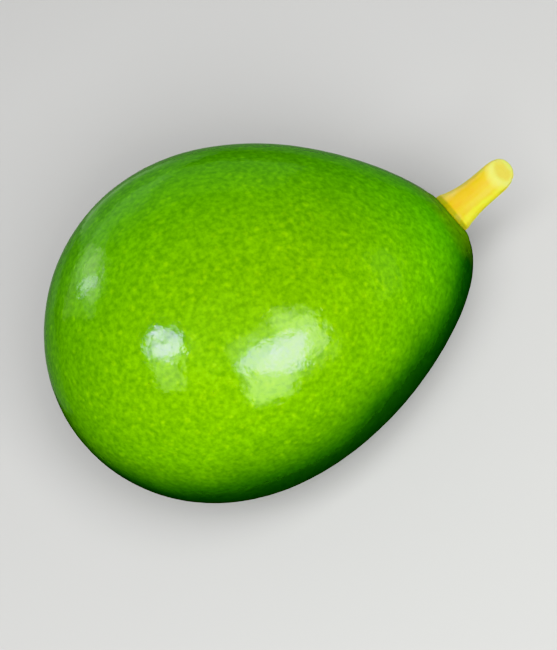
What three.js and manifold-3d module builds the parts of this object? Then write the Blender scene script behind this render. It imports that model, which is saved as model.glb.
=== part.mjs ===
// A smooth green avocado, as picked: the whole fruit lying on its side, with its short stem stub.
// Millimetres, +Z up. +X runs along the fruit from its blossom end to its stem end, and the origin
// is the middle of the small flat spot that the fruit rests on.

import * as THREE from 'three';
import { mergeVertices } from 'three/addons/utils/BufferGeometryUtils.js';
import Module from 'manifold-3d';

const wasm = await Module();
wasm.setup();

const { degToRad } = THREE.MathUtils;
const FULL_TURN = 2 * Math.PI;

// ---- Driving dimensions: the fruit ----

const FRUIT_LENGTH = 116; // blossom end to stem end
const FRUIT_BREADTH = 92; // across its widest place, lying down
const FRUIT_DEPTH = 89; // from top to bottom there, a little flattened
const FRUIT_TAPER = 0.22; // how much fuller the blossom half is than the stem half
const FRUIT_BLUNTNESS = -0.055; // above zero squares the ends, below zero draws them in
const FRUIT_BOW = 2; // how far both ends swing to the -Y side of the middle
const FRUIT_ROWS = 46;
const FRUIT_COLUMNS = 64;

// ---- Driving dimensions: the stem stub ----

const STEM_LENGTH = 16.8; // from the skin to the middle of the slanted cut
const STEM_ROOT_DEPTH = 2.2; // how deep its foot sits in the socket
const STEM_RADIUS = 4.1; // of the shaft, without the flare
const STEM_FLARE = 1.7; // what the foot spreads past the shaft
const STEM_FLARE_HEIGHT = 3.5; // over which the flare dies away
const STEM_CUT_ANGLE = degToRad(45); // 0 is a cut square across
const STEM_CUT_TURN = degToRad(30); // the cut faces up, and turned this far about the stem
const STEM_LEAN_START = 3; // the rings lean over to the cut from this height on
const STEM_EDGE_ROUNDING = 1.2; // radius of the cut's worn edge
const STEM_ROWS = 14;
const STEM_EDGE_ROWS = 5;
const STEM_COLUMNS = 32;

// Where the stem grows, as angles on the fruit, and where it points, as turns from +X
const SEAT_ALONG = degToRad(164); // 0 is the blossom end, 180 the stem end
const SEAT_AROUND = degToRad(64); // 0 is +Y, 90 is the top
const STEM_YAW = degToRad(12);
const STEM_PITCH = degToRad(16);
const SOCKET_GAP = 0.3;

// ---- Driving dimensions: how it rests ----

const REST_TILT = degToRad(12); // the stem end dips, so the weight is over the flat spot
const REST_FLAT_DEPTH = 0.5; // how much of the round underside the flat spot takes off

// ---- Solids ----

// A closed skin through elliptical rings. The first and the last ring are single points.
function skinThroughRings(rings, columns) {
  const positions = [];
  const addPoint = (point) => positions.push(point.x, point.y, point.z);
  addPoint(rings[0].centre);
  for (const ring of rings.slice(1, -1)) {
    for (let column = 0; column < columns; column++) {
      const around = (column / columns) * FULL_TURN;
      const point = ring.centre.clone();
      point.addScaledVector(ring.across, Math.cos(around));
      point.addScaledVector(ring.upward, Math.sin(around));
      addPoint(point);
    }
  }
  addPoint(rings[rings.length - 1].centre);

  const lastPoint = positions.length / 3 - 1;
  const fullRings = rings.length - 2;
  const corner = (ring, column) => 1 + ring * columns + (column % columns);
  const triangles = [];
  for (let column = 0; column < columns; column++) {
    triangles.push(0, corner(0, column + 1), corner(0, column));
    for (let ring = 0; ring < fullRings - 1; ring++) {
      const near = corner(ring, column);
      const nearNext = corner(ring, column + 1);
      const far = corner(ring + 1, column);
      const farNext = corner(ring + 1, column + 1);
      triangles.push(near, nearNext, far);
      triangles.push(nearNext, farNext, far);
    }
    triangles.push(corner(fullRings - 1, column), corner(fullRings - 1, column + 1), lastPoint);
  }

  const geometry = new THREE.BufferGeometry();
  geometry.setAttribute('position', new THREE.Float32BufferAttribute(positions, 3));
  geometry.setIndex(triangles);
  return geometry;
}

function solidFrom(geometry) {
  const bare = geometry.clone();
  bare.deleteAttribute('normal');
  bare.deleteAttribute('uv');
  const merged = mergeVertices(bare);
  return new wasm.Manifold(new wasm.Mesh({
    numProp: 3,
    vertProperties: merged.getAttribute('position').array,
    triVerts: new Uint32Array(merged.index.array),
  }));
}

function geometryFrom(solid) {
  const mesh = solid.getMesh();
  const geometry = new THREE.BufferGeometry();
  geometry.setAttribute('position', new THREE.BufferAttribute(mesh.vertProperties, 3));
  geometry.setIndex(new THREE.BufferAttribute(mesh.triVerts, 1));
  return geometry;
}

function cutAway(geometry, tool) {
  return geometryFrom(solidFrom(geometry).subtract(solidFrom(tool)));
}

// ---- Fruit ----

// Half-girth along the fruit, before it is scaled to a widest value of 1
function rawGirth(along) {
  const shape = 1 + FRUIT_TAPER * Math.cos(along) + FRUIT_BLUNTNESS * Math.cos(2 * along);
  return Math.sin(along) * shape;
}

function widestRawGirth() {
  const steps = 1000;
  let widest = 0;
  for (let step = 0; step <= steps; step++) {
    widest = Math.max(widest, rawGirth((step / steps) * Math.PI));
  }
  return widest;
}

const WIDEST_RAW_GIRTH = widestRawGirth();

// The ring of the fruit at an angle along it, from 0 at the blossom end to pi at the stem end
function fruitRing(along) {
  const girth = rawGirth(along) / WIDEST_RAW_GIRTH;
  const reach = -Math.cos(along);
  return {
    centre: new THREE.Vector3((FRUIT_LENGTH / 2) * reach, -FRUIT_BOW * reach * reach, 0),
    across: new THREE.Vector3(0, (FRUIT_BREADTH / 2) * girth, 0),
    upward: new THREE.Vector3(0, 0, (FRUIT_DEPTH / 2) * girth),
  };
}

function makeFruit() {
  const rings = [];
  for (let row = 0; row <= FRUIT_ROWS; row++) {
    rings.push(fruitRing((row / FRUIT_ROWS) * Math.PI));
  }
  return skinThroughRings(rings, FRUIT_COLUMNS);
}

// ---- Stem ----

// The leaning ring of the stub at a height. It is as wide as the shaft when seen from its end.
function stemRing(height, radius, lean) {
  return {
    centre: new THREE.Vector3(0, 0, height),
    across: new THREE.Vector3(radius, 0, radius * Math.tan(lean)),
    upward: new THREE.Vector3(0, radius, 0),
  };
}

function shaftRadius(height) {
  return STEM_RADIUS + STEM_FLARE * Math.exp(-Math.max(height, 0) / STEM_FLARE_HEIGHT);
}

// Rings of the stub standing on its foot along +Z. A swell of a little more than 0 makes the
// cutter for its socket.
function stemRings(swell) {
  const root = -STEM_ROOT_DEPTH - swell;
  const edgeRise = STEM_EDGE_ROUNDING / Math.cos(STEM_CUT_ANGLE);
  const shoulder = STEM_LENGTH - edgeRise;
  const leanAt = (height) => {
    const share = (height - STEM_LEAN_START) / (shoulder - STEM_LEAN_START);
    return STEM_CUT_ANGLE * THREE.MathUtils.clamp(share, 0, 1);
  };
  const rings = [stemRing(root, 0, 0)];
  for (let row = 0; row <= STEM_ROWS; row++) {
    const height = THREE.MathUtils.lerp(root, shoulder, row / STEM_ROWS);
    rings.push(stemRing(height, shaftRadius(height) + swell, leanAt(height)));
  }
  for (let row = 1; row <= STEM_EDGE_ROWS; row++) {
    const turn = (row / STEM_EDGE_ROWS) * (Math.PI / 2);
    const narrowing = STEM_EDGE_ROUNDING * (1 - Math.cos(turn));
    const radius = shaftRadius(shoulder) + swell - narrowing;
    rings.push(stemRing(shoulder + edgeRise * Math.sin(turn), radius, STEM_CUT_ANGLE));
  }
  rings.push(stemRing(STEM_LENGTH, 0, STEM_CUT_ANGLE));
  return rings;
}

// Stands a stub made along +Z on its seat, pointing the way that the stem grows
function plantStem(geometry) {
  const ring = fruitRing(SEAT_ALONG);
  const seat = ring.centre.clone();
  seat.addScaledVector(ring.across, Math.cos(SEAT_AROUND));
  seat.addScaledVector(ring.upward, Math.sin(SEAT_AROUND));
  geometry.rotateZ(STEM_CUT_TURN);
  geometry.rotateY(Math.PI / 2 - STEM_PITCH);
  geometry.rotateZ(STEM_YAW);
  geometry.translate(seat.x, seat.y, seat.z);
  return geometry;
}

function makeStem(swell) {
  return plantStem(skinThroughRings(stemRings(swell), STEM_COLUMNS));
}

// ---- Resting place ----

// Tilts the pieces to where their weight balances, cuts the flat spot and brings it to the origin
function layToRest(fruitGeometry, stemGeometry) {
  fruitGeometry.rotateY(REST_TILT);
  stemGeometry.rotateY(REST_TILT);
  fruitGeometry.computeBoundingBox();
  const drop = -(fruitGeometry.boundingBox.min.z + REST_FLAT_DEPTH);
  fruitGeometry.translate(0, 0, drop);
  stemGeometry.translate(0, 0, drop);

  const below = new THREE.BoxGeometry(FRUIT_LENGTH, FRUIT_LENGTH, FRUIT_LENGTH);
  below.translate(0, 0, -FRUIT_LENGTH / 2);
  const rested = cutAway(fruitGeometry, below);

  const middle = flatSpotMiddle(rested);
  rested.translate(-middle.x, -middle.y, 0);
  stemGeometry.translate(-middle.x, -middle.y, 0);
  return [rested, stemGeometry];
}

function flatSpotMiddle(geometry) {
  const tolerance = 0.001;
  const places = geometry.getAttribute('position');
  const spot = new THREE.Box3();
  const corner = new THREE.Vector3();
  for (let index = 0; index < places.count; index++) {
    corner.fromBufferAttribute(places, index);
    if (Math.abs(corner.z) < tolerance) spot.expandByPoint(corner);
  }
  return spot.getCenter(new THREE.Vector3());
}

// ---- Materials and the whole avocado ----

const skinMaterial = new THREE.MeshStandardMaterial({
  color: 0x6cb20a, roughness: 0.38, metalness: 0,
});
const stemMaterial = new THREE.MeshStandardMaterial({
  color: 0xe6c64a, roughness: 0.65, metalness: 0,
});

function namedMesh(name, geometry, material) {
  geometry.computeVertexNormals();
  const mesh = new THREE.Mesh(geometry, material);
  mesh.name = name;
  return mesh;
}

const socketed = cutAway(makeFruit(), makeStem(SOCKET_GAP));
const [fruitGeometry, stemGeometry] = layToRest(socketed, makeStem(0));

const avocado = new THREE.Group();
avocado.name = 'avocado';
avocado.add(namedMesh('fruit', fruitGeometry, skinMaterial));
avocado.add(namedMesh('stem', stemGeometry, stemMaterial));

export default avocado;
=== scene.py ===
"""A smooth green avocado with its short stem stub, lying on its side.

Metres, +Z up. +X runs along the fruit, from its blossom end to its stem end.
"""
from math import cos, exp, pi, radians, sin

import bmesh
import bpy
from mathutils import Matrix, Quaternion, Vector


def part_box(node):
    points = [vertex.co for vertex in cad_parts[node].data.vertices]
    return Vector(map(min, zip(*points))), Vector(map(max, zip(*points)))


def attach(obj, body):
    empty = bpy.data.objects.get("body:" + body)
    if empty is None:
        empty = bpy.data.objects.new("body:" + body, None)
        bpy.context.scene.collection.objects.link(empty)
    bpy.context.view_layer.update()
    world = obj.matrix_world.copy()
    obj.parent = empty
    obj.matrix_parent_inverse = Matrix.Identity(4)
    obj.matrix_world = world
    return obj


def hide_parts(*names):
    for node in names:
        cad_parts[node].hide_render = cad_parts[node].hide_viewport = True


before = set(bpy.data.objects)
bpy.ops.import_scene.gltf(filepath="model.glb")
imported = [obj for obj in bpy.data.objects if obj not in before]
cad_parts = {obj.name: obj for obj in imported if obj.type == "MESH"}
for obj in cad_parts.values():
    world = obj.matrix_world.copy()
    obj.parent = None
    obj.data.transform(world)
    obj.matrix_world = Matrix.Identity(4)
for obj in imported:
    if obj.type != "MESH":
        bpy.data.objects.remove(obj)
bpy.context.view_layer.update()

MM = 0.001
HAIR = 0.01 * MM

# ---- Sizes of the fruit, before it is laid down ----

FRUIT_LENGTH = 116 * MM
FRUIT_BREADTH = 92 * MM
FRUIT_DEPTH = 89 * MM
FRUIT_TAPER = 0.22
FRUIT_BLUNTNESS = -0.055
FRUIT_BOW = 2 * MM
FRUIT_CUTS = 15
FRUIT_SMOOTHING = 3
REST_TILT = radians(12)

SKIN_SWELL_SIZE = 30 * MM
SKIN_SWELL_HEIGHT = 0.3 * MM
SKIN_PEBBLE_SIZE = 3 * MM
SKIN_PEBBLE_HEIGHT = 0.06 * MM

HOLLOW_RADIUS = 4 * MM
HOLLOW_DEPTH = 0.4 * MM
HOLLOW_REACH = 7 * MM
LIP_RADIUS = 6.7 * MM
LIP_HALF_WIDTH = 0.5 * MM
LIP_HEIGHT = 0.25 * MM
LIP_REACH = 2 * MM

# ---- Sizes of the stem stub, standing on its foot ----

STEM_LENGTH = 16.8 * MM
STEM_ROOT_DEPTH = 2.2 * MM
STEM_RADIUS = 4.1 * MM
STEM_FLARE = 1.7 * MM
STEM_FLARE_HEIGHT = 3.5 * MM
STEM_BEND = 0.2 * MM
STEM_CUT_ANGLE = radians(45)
STEM_CUT_TURN = radians(30)
STEM_LEAN_START = 3 * MM
STEM_COLUMNS = 42
STEM_ROWS = 15
STEM_SMOOTHING = 2

STEM_SHOULDER = 1.7 * MM
STEM_TOP = STEM_LENGTH - STEM_SHOULDER
STEM_EDGE_ROUNDING = 1.2 * MM
# Each ring of the rounded edge: its share of the shoulder's height, and of the rounding.
STEM_EDGE_RINGS = ((0.7, 0.3), (1.0, 1.0))
# Each ring of the sunken core: how far it rises, and its share of the last ring's size.
STEM_CORE_RINGS = ((-0.05 * MM, 0.86), (-0.12 * MM, 0.84), (-0.05 * MM, 0.6), (0.05 * MM, 0.5))

STEM_GROOVES = (20, 75, 138, 178, 222, 292, 335)
STEM_GROOVE_SHARE = 0.965
STEM_SWELL_SIZE = 6 * MM
STEM_SWELL_HEIGHT = 0.25 * MM
STEM_GRAIN_SIZE = 1.6 * MM
STEM_GRAIN_HEIGHT = 0.12 * MM

SEAT_ALONG = radians(164)
SEAT_AROUND = radians(64)
STEM_YAW = radians(12)
STEM_PITCH = radians(16)


# ---- Working by hand ----

def deselect_everything():
    bpy.ops.object.select_all(action="DESELECT")


def start_editing(piece):
    bpy.context.view_layer.objects.active = piece
    bpy.ops.object.mode_set(mode="EDIT")
    bpy.ops.mesh.select_mode(type="VERT")
    bpy.ops.mesh.select_all(action="DESELECT")


def stop_editing():
    bpy.ops.object.mode_set(mode="OBJECT")


def select_points(piece, wanted):
    """Selects the points of the piece being edited that the test accepts, by their place."""
    shape = bmesh.from_edit_mesh(piece.data)
    for point in shape.verts:
        point.select_set(wanted(point.co))
    shape.select_flush(True)
    bmesh.update_edit_mesh(piece.data)


def chosen_middle(piece):
    """The middle of the points that are selected in the piece being edited."""
    shape = bmesh.from_edit_mesh(piece.data)
    places = [point.co for point in shape.verts if point.select]
    return sum(places, Vector()) / len(places)


def push(piece, wanted, shift, reach):
    """Moves the points that the test accepts, and softly those within reach of them."""
    select_points(piece, wanted)
    bpy.ops.transform.translate(
        value=shift, use_proportional_edit=True, proportional_size=reach,
        proportional_edit_falloff="SMOOTH",
    )


def apply_place(piece):
    """Puts the piece's place and turn into its mesh."""
    deselect_everything()
    piece.select_set(True)
    bpy.context.view_layer.objects.active = piece
    bpy.ops.object.transform_apply(location=True, rotation=True, scale=True)


def apply_modifiers(piece):
    bpy.context.view_layer.objects.active = piece
    for modifier in list(piece.modifiers):
        bpy.ops.object.modifier_apply(modifier=modifier.name)


def add_smoothing(piece, levels):
    smoothing = piece.modifiers.new("Smoothing", "SUBSURF")
    smoothing.levels = levels
    smoothing.render_levels = levels


def add_unevenness(piece, name, size, height):
    """Raises and lowers the surface by soft noise whose lumps have this size."""
    noise = bpy.data.textures.new(name, "CLOUDS")
    noise.noise_scale = size
    noise.noise_depth = 1
    unevenness = piece.modifiers.new(name, "DISPLACE")
    unevenness.texture = noise
    unevenness.texture_coords = "LOCAL"
    unevenness.strength = height
    unevenness.mid_level = 0.5


def corners(piece):
    low = Vector(min(point.co[axis] for point in piece.data.vertices) for axis in range(3))
    high = Vector(max(point.co[axis] for point in piece.data.vertices) for axis in range(3))
    return low, high


# ---- The fruit's form ----

def raw_fullness(reach):
    """How full the fruit is at a reach along it, from -1 at the blossom end to 1 at the stem end."""
    return 1 - FRUIT_TAPER * reach + FRUIT_BLUNTNESS * (2 * reach * reach - 1)


def widest_raw_girth():
    steps = 1000
    reaches = [2 * step / steps - 1 for step in range(steps + 1)]
    return max((1 - reach * reach) ** 0.5 * raw_fullness(reach) for reach in reaches)


WIDEST_RAW_GIRTH = widest_raw_girth()


def fullness(reach):
    return raw_fullness(reach) / WIDEST_RAW_GIRTH


def rest_turn():
    """The turn that lays the fruit down to its rest."""
    return Quaternion((0, 1, 0), REST_TILT)


def seat_place():
    """Where the stem grows, on the fruit before it is laid down."""
    reach = -cos(SEAT_ALONG)
    girth = sin(SEAT_ALONG) * fullness(reach)
    across = FRUIT_BREADTH / 2 * girth * cos(SEAT_AROUND)
    upward = FRUIT_DEPTH / 2 * girth * sin(SEAT_AROUND)
    return Vector((FRUIT_LENGTH / 2 * reach, across - FRUIT_BOW * reach * reach, upward))


def blossom_end_place():
    """The tip at the far end from the stem, on the fruit before it is laid down."""
    return Vector((-FRUIT_LENGTH / 2, -FRUIT_BOW, 0))


def at_rest(place, middle):
    """Where a place on the fruit comes to when the fruit is laid down round this middle."""
    return rest_turn() @ place + middle


# ---- Skin ----

def add_round_blank():
    """A ball of square faces as long as the fruit."""
    bpy.ops.mesh.primitive_cube_add(size=FRUIT_LENGTH)
    blank = bpy.context.object
    start_editing(blank)
    bpy.ops.mesh.select_all(action="SELECT")
    bpy.ops.mesh.subdivide(number_cuts=FRUIT_CUTS)
    stop_editing()
    rounding = blank.modifiers.new("Rounding", "CAST")
    rounding.factor = 1
    rounding.use_radius_as_size = False
    rounding.size = FRUIT_LENGTH / 2
    apply_modifiers(blank)
    return blank


def shape_blank(blank):
    """Narrows the ball slice by slice to the fruit's egg shape, and swings its ends aside."""
    half_length = FRUIT_LENGTH / 2
    slices = sorted({round(point.co.x / HAIR) for point in blank.data.vertices})
    start_editing(blank)
    for place in slices:
        along = place * HAIR
        reach = max(-1, min(1, along / half_length))
        select_points(blank, lambda co: round(co.x / HAIR) == place)
        girth = fullness(reach) / FRUIT_LENGTH
        bpy.ops.transform.resize(
            value=(1, FRUIT_BREADTH * girth, FRUIT_DEPTH * girth), center_override=(along, 0, 0)
        )
        bpy.ops.transform.translate(value=(0, -FRUIT_BOW * reach * reach, 0))
    stop_editing()


def lay_down(piece, solid_low, solid_high):
    """Tilts the fruit to its rest and moves it to the solid's place. Returns where its middle is."""
    piece.rotation_euler.y = REST_TILT
    apply_place(piece)
    low, high = corners(piece)
    middle = Vector((solid_low.x - low.x, solid_low.y - low.y, solid_high.z - high.z))
    piece.location = middle
    apply_place(piece)
    return middle


def flatten_underside(piece):
    start_editing(piece)
    select_points(piece, lambda co: co.z < 0)
    bpy.ops.transform.resize(value=(1, 1, 0), center_override=(0, 0, 0))
    stop_editing()


def press_stem_hollow(skin, seat):
    """Sinks the skin a little round the stem's foot, inside a low soft lip."""
    outward = (seat - Vector((0, 0, FRUIT_DEPTH / 2))).normalized()
    start_editing(skin)
    push(skin, lambda co: (co - seat).length < HOLLOW_RADIUS, -HOLLOW_DEPTH * outward, HOLLOW_REACH)
    push(
        skin, lambda co: abs((co - seat).length - LIP_RADIUS) < LIP_HALF_WIDTH,
        LIP_HEIGHT * outward, LIP_REACH,
    )
    stop_editing()


def make_skin():
    deselect_everything()
    skin = add_round_blank()
    skin.name = "skin"
    shape_blank(skin)
    add_smoothing(skin, FRUIT_SMOOTHING)
    apply_modifiers(skin)
    middle = lay_down(skin, *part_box("fruit"))
    add_unevenness(skin, "Swells", SKIN_SWELL_SIZE, SKIN_SWELL_HEIGHT)
    add_unevenness(skin, "Pebbles", SKIN_PEBBLE_SIZE, SKIN_PEBBLE_HEIGHT)
    apply_modifiers(skin)
    flatten_underside(skin)
    press_stem_hollow(skin, at_rest(seat_place(), middle))
    bpy.ops.object.shade_smooth()
    return skin, middle


# ---- Stem ----

def stem_radius(height):
    return STEM_RADIUS + STEM_FLARE * exp(-max(height, 0) / STEM_FLARE_HEIGHT)


def stem_lean(height):
    """How far the ring at this height leans over, on its way from the foot to the slanted cut."""
    share = (height - STEM_LEAN_START) / (STEM_TOP - STEM_LEAN_START)
    return STEM_CUT_ANGLE * max(0, min(1, share))


def raise_ring(stem, rise, share, sideways=0.0, last_lean=STEM_CUT_ANGLE, lean=STEM_CUT_ANGLE):
    """Extrudes the open ring upwards, leans it over, and widens or narrows it."""
    bpy.ops.mesh.extrude_region_move(TRANSFORM_OT_translate={"value": (0, sideways, rise)})
    middle = chosen_middle(stem)
    bpy.ops.transform.rotate(value=lean - last_lean, orient_axis="Y", center_override=middle)
    longer = share * cos(last_lean) / cos(lean)
    bpy.ops.transform.resize(value=(longer, share, longer), center_override=middle)


def raise_shaft(stem):
    """Extrudes the foot ring upwards, with its flare and bend, leaning over towards the cut."""
    rise = (STEM_TOP + STEM_ROOT_DEPTH) / STEM_ROWS
    height = -STEM_ROOT_DEPTH
    for row in range(STEM_ROWS):
        last_height = height
        height += rise
        sideways = STEM_BEND * (sin(pi * last_height / STEM_TOP) - sin(pi * height / STEM_TOP))
        share = stem_radius(height) / stem_radius(last_height)
        raise_ring(stem, rise, share, sideways, stem_lean(last_height), stem_lean(height))


def close_end(stem):
    """Narrows the cut end to a rounded edge, and sinks its drier core a little inside the rim."""
    full_radius = stem_radius(STEM_LENGTH)
    last_radius = full_radius
    last_share = 0
    for height_share, rounding_share in STEM_EDGE_RINGS:
        radius = full_radius - rounding_share * STEM_EDGE_ROUNDING
        raise_ring(stem, (height_share - last_share) * STEM_SHOULDER, radius / last_radius)
        last_radius = radius
        last_share = height_share
    for rise, share in STEM_CORE_RINGS:
        raise_ring(stem, rise, share)
    bpy.ops.mesh.edge_face_add()


def press_grooves(stem):
    """Presses shallow grooves along the shaft, at uneven angles round it."""
    half_column = pi / STEM_COLUMNS
    for angle in STEM_GROOVES:
        middle_line = Vector((cos(radians(angle)), sin(radians(angle))))
        select_points(stem, lambda co: co.xy.angle(middle_line, pi) < half_column)
        bpy.ops.transform.resize(
            value=(STEM_GROOVE_SHARE, STEM_GROOVE_SHARE, 1), center_override=(0, 0, 0)
        )


def close_foot(stem):
    select_points(stem, lambda co: co.z < HAIR - STEM_ROOT_DEPTH)
    bpy.ops.mesh.edge_face_add()
    bpy.ops.mesh.select_all(action="SELECT")
    bpy.ops.mesh.normals_make_consistent(inside=False)


def stem_turn():
    """The turn of the stem from standing on its foot to its place on the laid-down fruit."""
    leaning = Quaternion((0, 0, 1), STEM_YAW) @ Quaternion((0, 1, 0), pi / 2 - STEM_PITCH)
    return rest_turn() @ leaning @ Quaternion((0, 0, 1), STEM_CUT_TURN)


def make_stem(seat):
    deselect_everything()
    bpy.ops.mesh.primitive_circle_add(
        vertices=STEM_COLUMNS, radius=stem_radius(-STEM_ROOT_DEPTH),
        fill_type="NOTHING", location=(0, 0, -STEM_ROOT_DEPTH),
    )
    stem = bpy.context.object
    stem.name = "stem_stub"
    apply_place(stem)
    start_editing(stem)
    bpy.ops.mesh.select_all(action="SELECT")
    raise_shaft(stem)
    close_end(stem)
    press_grooves(stem)
    close_foot(stem)
    stop_editing()
    add_smoothing(stem, STEM_SMOOTHING)
    apply_modifiers(stem)
    add_unevenness(stem, "Stem swells", STEM_SWELL_SIZE, STEM_SWELL_HEIGHT)
    add_unevenness(stem, "Stem grain", STEM_GRAIN_SIZE, STEM_GRAIN_HEIGHT)
    apply_modifiers(stem)
    stem.rotation_euler = stem_turn().to_euler()
    stem.location = seat
    apply_place(stem)
    bpy.ops.object.shade_smooth()
    return stem


# ---- Node work ----

def opaque(source):
    """A plain colour with its fourth value, for a node's socket. A linked socket stays as it is."""
    return (*source, 1) if isinstance(source, tuple) else source


def put(tree, kind, inputs=None, **settings):
    """Adds a node with these settings. Each input is set to a value or linked to a socket."""
    made = tree.nodes.new(kind)
    for name, value in settings.items():
        setattr(made, name, value)
    for socket, source in (inputs or {}).items():
        if isinstance(source, bpy.types.NodeSocket):
            tree.links.new(source, made.inputs[socket])
        else:
            made.inputs[socket].default_value = source
    return made


def calculate(tree, operation, *values):
    inputs = dict(enumerate(values))
    return put(tree, "ShaderNodeMath", inputs, operation=operation).outputs[0]


def combine(tree, operation, first, second):
    """A vector calculation on two places or directions."""
    return put(tree, "ShaderNodeVectorMath", {0: first, 1: second}, operation=operation).outputs


def stretch(tree, value, low, high, new_low=0.0, new_high=1.0):
    """Maps a value's range from low..high to the new one, without overshoot."""
    inputs = {"Value": value, "From Min": low, "From Max": high, "To Min": new_low, "To Max": new_high}
    return put(tree, "ShaderNodeMapRange", inputs).outputs[0]


def blend(tree, amount, under, over):
    """Lays one colour over another by an amount."""
    inputs = {"Factor": amount, 6: opaque(under), 7: opaque(over)}
    return put(tree, "ShaderNodeMix", inputs, data_type="RGBA").outputs[2]


def blend_part(tree, amount, strength, under, over):
    """Lays one colour over another by an amount, but no further than this strength."""
    return blend(tree, calculate(tree, "MULTIPLY", amount, strength), under, over)


def tinted(tree, color, amount, low_tint, high_tint):
    """Multiplies a colour by a tint that goes from low to high with the amount."""
    tint = blend(tree, amount, low_tint, high_tint)
    inputs = {"Factor": 1.0, 6: color, 7: tint}
    return put(tree, "ShaderNodeMix", inputs, data_type="RGBA", blend_type="MULTIPLY").outputs[2]


def ramp(tree, amount, stops):
    """A colour ramp with these stops, each a place and a colour."""
    made = put(tree, "ShaderNodeValToRGB", {"Fac": amount})
    elements = made.color_ramp.elements
    while len(elements) < len(stops):
        elements.new(0.5)
    for element, (place, color) in zip(elements, stops):
        element.position = place
        element.color = opaque(color)
    return made.outputs["Color"]


def new_effect(name, inputs, outputs):
    """An empty node group with these named sockets, and its tree's two ends."""
    effect = bpy.data.node_groups.new(name, "ShaderNodeTree")
    for label, kind in inputs.items():
        effect.interface.new_socket(name=label, in_out="INPUT", socket_type="NodeSocket" + kind)
    for label, kind in outputs.items():
        effect.interface.new_socket(name=label, in_out="OUTPUT", socket_type="NodeSocket" + kind)
    return effect, put(effect, "NodeGroupInput").outputs, put(effect, "NodeGroupOutput").inputs


def shrink_by(tree, place, size):
    """The place counted in steps of this size."""
    share = calculate(tree, "DIVIDE", 1.0, size)
    inputs = {0: place, "Scale": share}
    return put(tree, "ShaderNodeVectorMath", inputs, operation="SCALE").outputs[0]


# ---- Effects that the skin and the stem share ----

SPECK_SMALLEST = 0.6
SPECK_LARGEST = 1.4
SPECK_SOLID_SHARE = 0.45


def make_patches():
    """Soft patches of this size, 0 to 1."""
    inputs = {"Place": "Vector", "Size": "Float", "Contrast": "Float"}
    effect, given, made = new_effect("Patches", inputs, {"Amount": "Float"})
    steps = shrink_by(effect, given["Place"], given["Size"])
    noise = put(effect, "ShaderNodeTexNoise", {"Vector": steps, "Scale": 1.0, "Detail": 2.0})
    centred = calculate(effect, "SUBTRACT", noise.outputs[0], 0.5)
    raised = calculate(effect, "MULTIPLY_ADD", centred, given["Contrast"], 0.5)
    effect.links.new(stretch(effect, raised, 0.0, 1.0), made["Amount"])
    return effect


def make_specks():
    """Small round specks: their usual spacing, their radius, and the share of places with one."""
    inputs = {"Place": "Vector", "Spacing": "Float", "Radius": "Float", "Share": "Float"}
    effect, given, made = new_effect("Specks", inputs, {"Amount": "Float"})
    steps = shrink_by(effect, given["Place"], given["Spacing"])
    cells = put(effect, "ShaderNodeTexVoronoi", {"Vector": steps, "Scale": 1.0})
    chance = put(effect, "ShaderNodeSeparateColor", {0: cells.outputs["Color"]}).outputs
    reach = calculate(effect, "DIVIDE", given["Radius"], given["Spacing"])
    variety = stretch(effect, chance[0], 0.0, 1.0, SPECK_SMALLEST, SPECK_LARGEST)
    varied = calculate(effect, "MULTIPLY", reach, variety)
    near = calculate(effect, "DIVIDE", cells.outputs["Distance"], varied)
    dot = stretch(effect, near, 1.0, SPECK_SOLID_SHARE)
    present = calculate(effect, "LESS_THAN", chance[1], given["Share"])
    effect.links.new(calculate(effect, "MULTIPLY", dot, present), made["Amount"])
    return effect


def make_spot():
    """One spot round a centre, 1 inside its radius and 0 past its soft, uneven edge."""
    inputs = {"Place": "Vector", "Centre": "Vector", "Radius": "Float", "Edge": "Float"}
    effect, given, made = new_effect("Spot", inputs, {"Amount": "Float"})
    between = combine(effect, "DISTANCE", given["Place"], given["Centre"])["Value"]
    steps = shrink_by(effect, given["Place"], given["Edge"])
    noise = put(effect, "ShaderNodeTexNoise", {"Vector": steps, "Scale": 1.0, "Detail": 1.0})
    wander = calculate(effect, "SUBTRACT", noise.outputs[0], 0.5)
    reached = calculate(effect, "MULTIPLY_ADD", wander, given["Edge"], between)
    end = calculate(effect, "ADD", given["Radius"], given["Edge"])
    inputs = {"Value": reached, "From Min": given["Radius"], "From Max": end, "To Min": 1.0, "To Max": 0.0}
    fade = put(effect, "ShaderNodeMapRange", inputs, interpolation_type="SMOOTHSTEP")
    effect.links.new(fade.outputs[0], made["Amount"])
    return effect


PATCHES = make_patches()
SPECKS = make_specks()
SPOT = make_spot()


def patches(tree, place, size, contrast):
    inputs = {"Place": place, "Size": size, "Contrast": contrast}
    return put(tree, "ShaderNodeGroup", inputs, node_tree=PATCHES).outputs["Amount"]


def specks(tree, place, spacing, radius, share):
    inputs = {"Place": place, "Spacing": spacing, "Radius": radius, "Share": share}
    return put(tree, "ShaderNodeGroup", inputs, node_tree=SPECKS).outputs["Amount"]


def spot(tree, place, centre, radius, edge):
    inputs = {"Place": place, "Centre": centre, "Radius": radius, "Edge": edge}
    return put(tree, "ShaderNodeGroup", inputs, node_tree=SPOT).outputs["Amount"]


# ---- Finish of the skin ----

# The side of the fruit that faces the light, where the skin is painted lightest.
LIT_SIDE_DIRECTION = (0.100, -0.060, 0.993)
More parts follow.
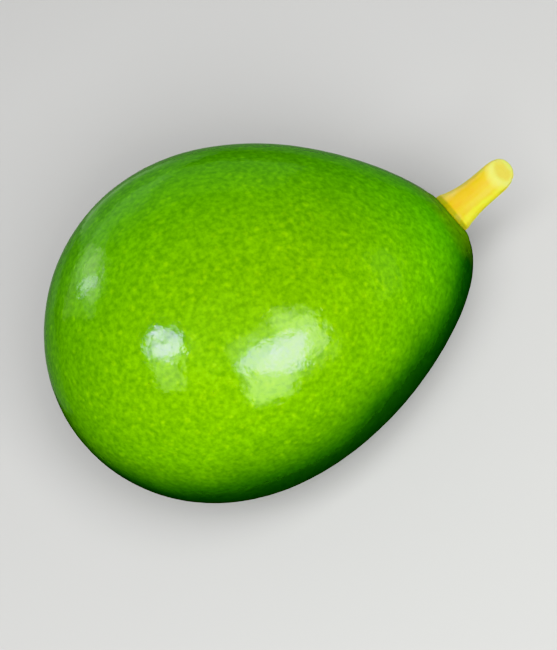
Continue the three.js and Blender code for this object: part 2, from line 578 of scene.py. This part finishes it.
# From the underside to the side that faces the light. Partly the skin's own deeper green underneath,
# partly painted shade: darker on the underside and along the lower edge, and a little darker again on top.
SKIN_GREENS_AND_PAINTED_SHADE = (
    (0.00, (0.036, 0.190, 0.003)),
    (0.30, (0.022, 0.145, 0.002)),
    (0.43, (0.012, 0.098, 0.002)),
    (0.50, (0.012, 0.102, 0.002)),
    (0.55, (0.030, 0.188, 0.002)),
    (0.60, (0.077, 0.308, 0.002)),
    (0.65, (0.117, 0.398, 0.001)),
    (0.70, (0.135, 0.454, 0.001)),
    (0.75, (0.138, 0.460, 0.001)),
    (0.80, (0.134, 0.448, 0.001)),
    (0.85, (0.129, 0.433, 0.001)),
    (0.90, (0.120, 0.415, 0.001)),
    (0.95, (0.109, 0.380, 0.001)),
    (1.00, (0.103, 0.358, 0.001)),
)
DRIFT_SIZE = 26 * MM
DRIFT_CONTRAST = 2.0
DRIFT = 0.06

# A yellower side, partly a blush and partly painted light on the side that faces the soft light.
BLUSH_AND_LIGHT_DIRECTION = (-0.010, -0.585, 0.811)
BLUSH_AND_LIGHT_TINTS = ((0.58, 1, 1), (1.45, 1, 1))

# A lighter green round the stem, partly the skin's own colour and partly painted light.
NECK_RADIUS = 7.5 * MM
NECK_EDGE = 9 * MM
NECK_STRENGTH = 0.9
NECK_GREEN_AND_LIGHT = (0.16, 0.42, 0.003)

MOTTLE_SIZE = 4.5 * MM
MOTTLE_CONTRAST = 2.0
MOTTLE_TINTS = ((0.90, 0.93, 1), (1.10, 1.07, 1))
FLECK_SIZE = 1.3 * MM
FLECK_CONTRAST = 2.5
FLECK_TINTS = ((0.72, 0.80, 1), (1.28, 1.20, 1))

PORE_SPACING = 2.5 * MM
PORE_RADIUS = 0.8 * MM
PORE_SHARE = 0.9
PORE_TINTS = ((1, 1, 1), (1.30, 1.15, 1.2))

# A brown ring round the stem's foot, partly the skin's own brown and partly painted shade in the crease
# round the stem.
COLLAR_RADIUS = 5.9 * MM
COLLAR_EDGE = 0.6 * MM
COLLAR_STRENGTH = 0.5
COLLAR_BROWN_AND_SHADE = (0.33, 0.27, 0.02)

SCAR_RADIUS = 1.0 * MM
SCAR_EDGE = 1.2 * MM
SCAR_BROWN = (0.13, 0.13, 0.04)

SKIN_IOR = 1.45
SKIN_ROUGHNESS = 0.11
MOTTLE_DULLNESS = 0.05
SCAR_DULLNESS = 0.4
STEM_END_RADIUS = 8 * MM
STEM_END_EDGE = 4 * MM
STEM_END_DULLNESS = 0.25

DIMPLE_SIZE = 1.7 * MM
DIMPLE_CONTRAST = 1.0
PORE_HEIGHT_SHARE = 0.25
SKIN_RELIEF = 0.05 * MM


def new_material(name):
    material = bpy.data.materials.new(name)
    material.use_nodes = True
    return material, material.node_tree, material.node_tree.nodes["Principled BSDF"]


def side_of_fruit(tree, place, middle, direction):
    """1 on the side of the fruit that faces the direction, falling to -1 on the other side."""
    roundness = (FRUIT_LENGTH ** -2, FRUIT_BREADTH ** -2, FRUIT_DEPTH ** -2)
    centred = combine(tree, "SUBTRACT", place, middle)[0]
    outward = combine(tree, "MULTIPLY", centred, roundness)[0]
    unit = put(tree, "ShaderNodeVectorMath", {0: outward}, operation="NORMALIZE").outputs[0]
    return combine(tree, "DOT_PRODUCT", unit, direction)["Value"]


def green_with_painted_shade_and_light(tree, place, middle):
    """Lime green on top and darker underneath, with a yellower blush on one side. The darker underside and
    lower edge are partly painted shade, and the yellower side is partly painted light where the soft light
    falls.
    """
    facing = side_of_fruit(tree, place, middle, LIT_SIDE_DIRECTION)
    lit_side_share = calculate(tree, "MULTIPLY_ADD", facing, 0.5, 0.5)
    broad = patches(tree, place, DRIFT_SIZE, DRIFT_CONTRAST)
    drift = calculate(tree, "MULTIPLY_ADD", broad, DRIFT, -DRIFT / 2)
    green = ramp(tree, calculate(tree, "ADD", lit_side_share, drift), SKIN_GREENS_AND_PAINTED_SHADE)
    blush_and_light = stretch(tree, side_of_fruit(tree, place, middle, BLUSH_AND_LIGHT_DIRECTION), 0.0, 1.0)
    return tinted(tree, green, calculate(tree, "MULTIPLY", blush_and_light, blush_and_light), *BLUSH_AND_LIGHT_TINTS)


def make_skin_material(middle, seat, blossom_end):
    material, tree, surface = new_material("waxy green skin")
    place = put(tree, "ShaderNodeTexCoord").outputs["Object"]
    mottle = patches(tree, place, MOTTLE_SIZE, MOTTLE_CONTRAST)
    flecks = patches(tree, place, FLECK_SIZE, FLECK_CONTRAST)
    pores = specks(tree, place, PORE_SPACING, PORE_RADIUS, PORE_SHARE)
    neck_light_mask = spot(tree, place, seat, NECK_RADIUS, NECK_EDGE)
    collar = spot(tree, place, seat, COLLAR_RADIUS, COLLAR_EDGE)
    scar = spot(tree, place, blossom_end, SCAR_RADIUS, SCAR_EDGE)

    color = green_with_painted_shade_and_light(tree, place, middle)
    # Lighter green round the stem, partly painted light.
    color = blend_part(tree, neck_light_mask, NECK_STRENGTH, color, NECK_GREEN_AND_LIGHT)
    color = tinted(tree, color, mottle, *MOTTLE_TINTS)
    color = tinted(tree, color, flecks, *FLECK_TINTS)
    color = tinted(tree, color, pores, *PORE_TINTS)
    # Brown ring round the stem, partly painted shade in the crease.
    color = blend_part(tree, collar, COLLAR_STRENGTH, color, COLLAR_BROWN_AND_SHADE)
    color = blend(tree, scar, color, SCAR_BROWN)
    tree.links.new(color, surface.inputs["Base Color"])

    stem_end = spot(tree, place, seat, STEM_END_RADIUS, STEM_END_EDGE)
    dullness = calculate(tree, "MULTIPLY_ADD", mottle, MOTTLE_DULLNESS, SKIN_ROUGHNESS)
    dullness = calculate(tree, "MULTIPLY_ADD", scar, SCAR_DULLNESS, dullness)
    dullness = calculate(tree, "MULTIPLY_ADD", stem_end, STEM_END_DULLNESS, dullness)
    tree.links.new(dullness, surface.inputs["Roughness"])
    surface.inputs["IOR"].default_value = SKIN_IOR

    dimples = patches(tree, place, DIMPLE_SIZE, DIMPLE_CONTRAST)
    height = calculate(tree, "MULTIPLY_ADD", pores, PORE_HEIGHT_SHARE, dimples)
    relief = {"Height": height, "Strength": 1.0, "Distance": SKIN_RELIEF}
    tree.links.new(put(tree, "ShaderNodeBump", relief).outputs[0], surface.inputs["Normal"])
    return material


# ---- Finish of the stem ----

# Across the stem, from its lemon edge to its buff edge. The lemon edge is partly the stem's own yellow and
# partly painted light.
STEM_STRIPS_AND_LIT_EDGE = (
    (0.00, (0.98, 0.93, 0.07)),
    (0.16, (0.98, 0.92, 0.07)),
    (0.24, (0.76, 0.62, 0.03)),
    (0.40, (0.80, 0.68, 0.04)),
    (0.60, (0.83, 0.58, 0.01)),
    (0.82, (0.84, 0.60, 0.04)),
    (1.00, (0.92, 0.70, 0.20)),
)
TIP_START = 0.35 * STEM_LENGTH
TIP_STRENGTH = 0.6
TIP_YELLOW = (0.97, 0.84, 0.07)
ROOT_TOP = 1.2 * MM
ROOT_BOTTOM = -0.8 * MM
ROOT_STRENGTH = 0.5
ROOT_OCHRE = (0.52, 0.38, 0.01)
# An olive band at the stem's foot, partly its own colour and partly painted shade where it meets the skin.
FOOT_TOP = 0.0
FOOT_BOTTOM = -0.6 * MM
FOOT_STRENGTH = 0.85
FOOT_OLIVE_AND_SHADE = (0.24, 0.30, 0.005)

STREAK_SIZE = 1.2 * MM
STREAK_CONTRAST = 2.5
STREAK_STRETCH = (1, 1, 0.12)
STREAK_STRENGTH = 0.25
STREAK_AMBER = (0.78, 0.50, 0.02)

CUT_NORMAL = (-sin(STEM_CUT_ANGLE), 0, cos(STEM_CUT_ANGLE))
CUT_HEIGHT = STEM_LENGTH * cos(STEM_CUT_ANGLE)
CUT_EDGE_START = CUT_HEIGHT - 1.3 * MM
CUT_EDGE_END = CUT_HEIGHT - 0.2 * MM
CUT_CREAM = (1.0, 0.93, 0.24)
CORE_RADIUS = 1.8 * MM
CORE_EDGE = 2.2 * MM
CORE_STRENGTH = 0.75
CORE_BUFF = (0.90, 0.72, 0.10)


def place_on_stem(tree, seat):
    """The place as it was when the stem stood on its foot."""
    unturn = stem_turn().inverted()
    own = put(tree, "ShaderNodeMapping", {"Vector": put(tree, "ShaderNodeTexCoord").outputs["Object"]})
    own.inputs["Rotation"].default_value = unturn.to_euler()
    own.inputs["Location"].default_value = -(unturn @ seat)
    return own.outputs[0]


def shaft_yellow(tree, place):
    """Strips of yellow along the shaft, paler to the tip and browner at the foot. The lemon edge is partly
    painted light, and the olive band at the foot is partly painted shade where the stem meets the skin.
    """
    parts = put(tree, "ShaderNodeSeparateXYZ", {0: place}).outputs
    # The lemon edge of these strips is partly painted light.
    color = ramp(tree, stretch(tree, parts["Y"], -STEM_RADIUS, STEM_RADIUS), STEM_STRIPS_AND_LIT_EDGE)
    tip = stretch(tree, parts["Z"], TIP_START, STEM_LENGTH)
    color = blend_part(tree, tip, TIP_STRENGTH, color, TIP_YELLOW)
    root = stretch(tree, parts["Z"], ROOT_TOP, ROOT_BOTTOM)
    color = blend_part(tree, root, ROOT_STRENGTH, color, ROOT_OCHRE)
    foot = stretch(tree, parts["Z"], FOOT_TOP, FOOT_BOTTOM)
    # Olive band at the foot, partly painted shade.
    color = blend_part(tree, foot, FOOT_STRENGTH, color, FOOT_OLIVE_AND_SHADE)
    streaked = put(tree, "ShaderNodeMapping", {"Vector": place, "Scale": STREAK_STRETCH}).outputs[0]
    streaks = patches(tree, streaked, STREAK_SIZE, STREAK_CONTRAST)
    return blend_part(tree, streaks, STREAK_STRENGTH, color, STREAK_AMBER)


def make_stem_material(seat):
    material, tree, surface = new_material("fresh yellow stem")
    place = place_on_stem(tree, seat)
    color = shaft_yellow(tree, place)
    along_cut = combine(tree, "DOT_PRODUCT", place, CUT_NORMAL)["Value"]
    cut = stretch(tree, along_cut, CUT_EDGE_START, CUT_EDGE_END)
    color = blend(tree, cut, color, CUT_CREAM)
    core = spot(tree, place, (0, 0, STEM_LENGTH), CORE_RADIUS, CORE_EDGE)
    color = blend_part(tree, core, CORE_STRENGTH, color, CORE_BUFF)
    tree.links.new(color, surface.inputs["Base Color"])
    surface.inputs["Roughness"].default_value = 0.55
    surface.inputs["Specular IOR Level"].default_value = 0.25
    surface.inputs["Subsurface Weight"].default_value = 1.0
    surface.inputs["Subsurface Radius"].default_value = (1.0, 0.7, 0.2)
    surface.inputs["Subsurface Scale"].default_value = 3 * MM
    surface.inputs["Sheen Weight"].default_value = 0.8
    surface.inputs["Sheen Roughness"].default_value = 0.5
    surface.inputs["Sheen Tint"].default_value = opaque((1.0, 0.93, 0.15))
    return material


# ---- Camera, lights and floor ----

CAMERA_AZIMUTH = radians(4)
CAMERA_ELEVATION = radians(59)
CAMERA_ROLL = radians(-31)
CAMERA_DISTANCE = 0.446
CAMERA_LENS = 95
AIM_RIGHT = 4.3 * MM
AIM_UP = -4.0 * MM

FLOOR_SIZE = 4
FLOOR_GREY = (0.62, 0.62, 0.61)
ROOM_GREY = (0.165, 0.165, 0.165)

SOFT_LIGHT_AZIMUTH = 6
SOFT_LIGHT_ELEVATION = 58
SOFT_LIGHT_SIZE = 0.8
SOFT_LIGHT_DISTANCE = 1.2
SOFT_LIGHT_BRIGHTNESS = 7.7

GLINT_DISTANCE = 0.8
COOL = (0.64, 0.47, 1.0)
WARM = (0.95, 1.0, 0.65)
LEAF = (0.72, 1.0, 0.60)
# Panes that only show as reflections in the skin. Each has its azimuth and elevation from the
# fruit, its width and height as seen from 1 m away, its turn, its brightness and its colour.
GLINTS = (
    ("window", 25.8, 23.5, 0.30, 0.38, 41, 14.0, COOL),
    ("window left pane", 13.2, 32.4, 0.28, 0.29, -22, 13.5, COOL),
    ("window top", 40.4, 42.7, 0.23, 0.19, 77, 4.0, WARM),
    ("window side", 35.3, 23.5, 0.30, 0.44, 20, 5.6, WARM),
    ("window sill", 10.4, 15.6, 0.35, 0.49, 21, 5.6, WARM),
    ("window haze", 23.0, 26.4, 0.82, 0.80, 16, 2.4, WARM),
    ("far window", -56.7, 51.3, 0.13, 0.31, 61, 12.0, COOL),
    ("far window top", -60.0, 59.5, 0.07, 0.29, 75, 16.0, COOL),
    ("far window left", -69.6, 55.0, 0.09, 0.15, 20, 15.0, COOL),
    ("far window right", -50.0, 53.8, 0.15, 0.27, 43, 9.0, COOL),
    ("far window sill", -47.9, 42.0, 0.47, 0.31, 73, 3.6, WARM),
    ("door", -137.1, 19.5, 0.20, 0.42, 51, 1.5, WARM),
    ("door frame", -137.1, 19.0, 0.33, 0.62, 51, 0.9, LEAF),
    ("door haze", -136.0, 13.0, 0.46, 0.60, 20, 0.8, WARM),
    ("door lamp", -134.6, 17.0, 0.08, 0.25, -7, 4.6, COOL),
    ("left corner", -149.0, -9.0, 0.42, 0.60, 10, 0.16, LEAF),
    ("side wall", 76.3, 6.0, 0.19, 0.48, 60, 1.1, LEAF),
    ("back wall", 173.3, 13.4, 1.27, 0.62, -5, 0.55, LEAF),
    ("left wall", -168.3, -5.7, 0.56, 0.82, 25, 0.4, LEAF),
    ("low wall", -172.6, -38.0, 2.4, 0.56, 0, 0.27, LEAF),
)


def toward(azimuth, elevation):
    """The direction from the fruit at these angles: azimuth 0 is -Y, 90 is +X."""
    flat = cos(elevation)
    return Vector((sin(azimuth) * flat, -cos(azimuth) * flat, sin(elevation)))


def add_camera(middle):
    outward = toward(CAMERA_AZIMUTH, CAMERA_ELEVATION)
    turn = (-outward).to_track_quat("-Z", "Y") @ Quaternion((0, 0, 1), CAMERA_ROLL)
    aim = middle + turn @ Vector((AIM_RIGHT, AIM_UP, 0))
    bpy.ops.object.camera_add(location=aim + outward * CAMERA_DISTANCE, rotation=turn.to_euler())
    camera = bpy.context.object
    camera.data.lens = CAMERA_LENS
    bpy.context.scene.camera = camera


def add_panel(name, middle, azimuth, elevation, distance, width, height, turn, brightness):
    """A rectangular light facing the fruit. Its width and height are as seen from 1 m away."""
    outward = toward(radians(azimuth), radians(elevation))
    aim = (-outward).to_track_quat("-Z", "Y") @ Quaternion((0, 0, 1), radians(-turn))
    bpy.ops.object.light_add(
        type="AREA", location=middle + outward * distance, rotation=aim.to_euler()
    )
    panel = bpy.context.object
    panel.name = name
    light = panel.data
    light.shape = "RECTANGLE"
    light.size = width * distance
    light.size_y = height * distance
    light.energy = brightness * pi * light.size * light.size_y
    return panel


def add_soft_light(middle):
    """A big soft light that shows in no reflection."""
    light = add_panel(
        "soft light", middle, SOFT_LIGHT_AZIMUTH, SOFT_LIGHT_ELEVATION, SOFT_LIGHT_DISTANCE,
        SOFT_LIGHT_SIZE, SOFT_LIGHT_SIZE, 0, SOFT_LIGHT_BRIGHTNESS,
    )
    light.visible_glossy = False


def add_glints(middle):
    for name, azimuth, elevation, width, height, turn, brightness, color in GLINTS:
        pane = add_panel(
            name, middle, azimuth, elevation, GLINT_DISTANCE, width, height, turn, brightness
        )
        pane.visible_diffuse = False
        pane.data.color = color


def add_room():
    """A dim grey room, which lights the fruit from all round and shows in no reflection."""
    world = bpy.data.worlds.new("dim room")
    bpy.context.scene.world = world
    world.use_nodes = True
    world.node_tree.nodes["Background"].inputs["Color"].default_value = opaque(ROOM_GREY)
    world.cycles_visibility.glossy = False


def add_floor():
    deselect_everything()
    bpy.ops.mesh.primitive_plane_add(size=FLOOR_SIZE)
    floor = bpy.context.object
    floor.name = "floor"
    material, tree, surface = new_material("pale floor")
    surface.inputs["Base Color"].default_value = opaque(FLOOR_GREY)
    surface.inputs["Roughness"].default_value = 1.0
    surface.inputs["Specular IOR Level"].default_value = 0.0
    floor.data.materials.append(material)
    floor.visible_glossy = False
    floor.visible_diffuse = False


# ---- The avocado and its scene ----

skin, middle = make_skin()
seat = at_rest(seat_place(), middle)
blossom_end = at_rest(blossom_end_place(), middle)
skin.data.materials.append(make_skin_material(middle, seat, blossom_end))
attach(skin, "root")
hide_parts("fruit")

stem = make_stem(seat)
stem.data.materials.append(make_stem_material(seat))
stem.visible_glossy = False
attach(stem, "root")
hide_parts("stem")

add_camera(middle)
add_floor()
add_room()
add_soft_light(middle)
add_glints(middle)
bpy.context.scene.view_settings.view_transform = "Khronos PBR Neutral"
